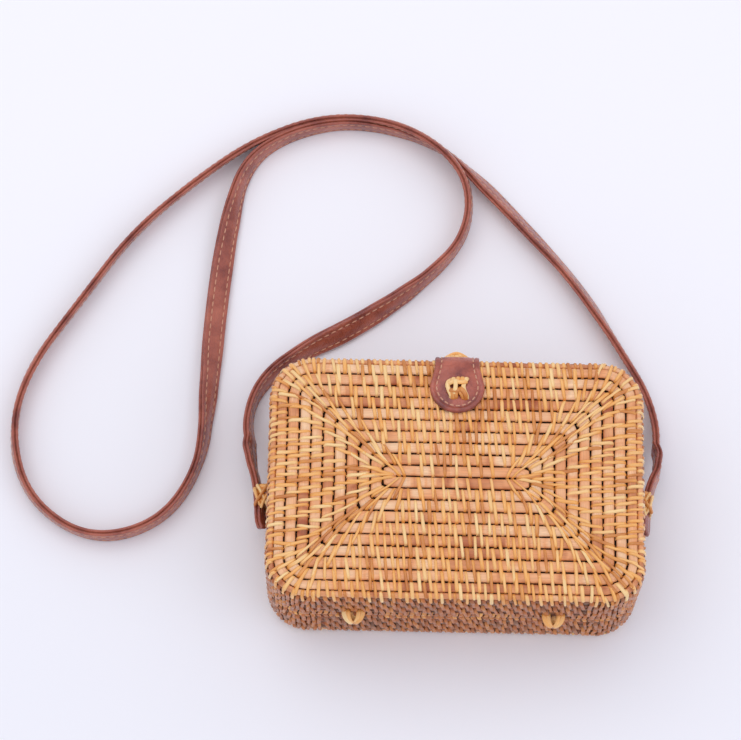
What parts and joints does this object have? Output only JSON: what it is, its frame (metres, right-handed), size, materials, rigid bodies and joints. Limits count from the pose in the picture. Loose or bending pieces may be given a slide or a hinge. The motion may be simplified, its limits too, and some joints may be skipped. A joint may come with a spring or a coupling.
{
  "type": "basket box bag",
  "caption": "Hard rattan box bag, two woven trays hinged with rattan ties, leather closure tab with woven knots, long leather shoulder strap lying in loops beside it.",
  "frame": {"origin": "centre of the flat back face, on the surface that the bag lies on", "axes": "+X along the bag's longest side, +Y from the hinge side to the closure side, +Z from the back face to the front face"},
  "size_m": [0.3428, 0.3013, 0.0769],
  "materials": {
    "rattan_weave": "peeled rattan rods bound with varnished golden strips",
    "rattan_binding": "varnished rattan strips, knotted",
    "lining_cotton": "dark brown plain cotton",
    "tab_leather": "reddish brown pebbled leather",
    "strap_leather": "reddish brown leather, stitched along both edges",
    "snap_steel": "satin nickel-plated steel"
  },
  "bodies": {
    "back": {"back_shell": "rattan_weave", "back_lining": "lining_cotton", "snap_keeper": "snap_steel", "hinge_tie_left": "rattan_binding", "hinge_tie_right": "rattan_binding", "strap_knot_left": "rattan_binding", "strap_knot_right": "rattan_binding", "shoulder_strap": "strap_leather"},
    "front": {"front_shell": "rattan_weave", "front_lining": "lining_cotton", "closure_tab": "tab_leather", "closure_tab_backing": "tab_leather", "snap_magnet": "snap_steel", "tab_front_knot": "rattan_binding", "tab_top_knot": "rattan_binding"}
  },
  "joints": [
    {"name": "lid_hinge", "type": "hinge", "parent": "back", "child": "front", "pos_m": [0, -0.0643, 0.035], "axis": [1, 0, 0], "range_deg": [0, 170]}
  ]
}
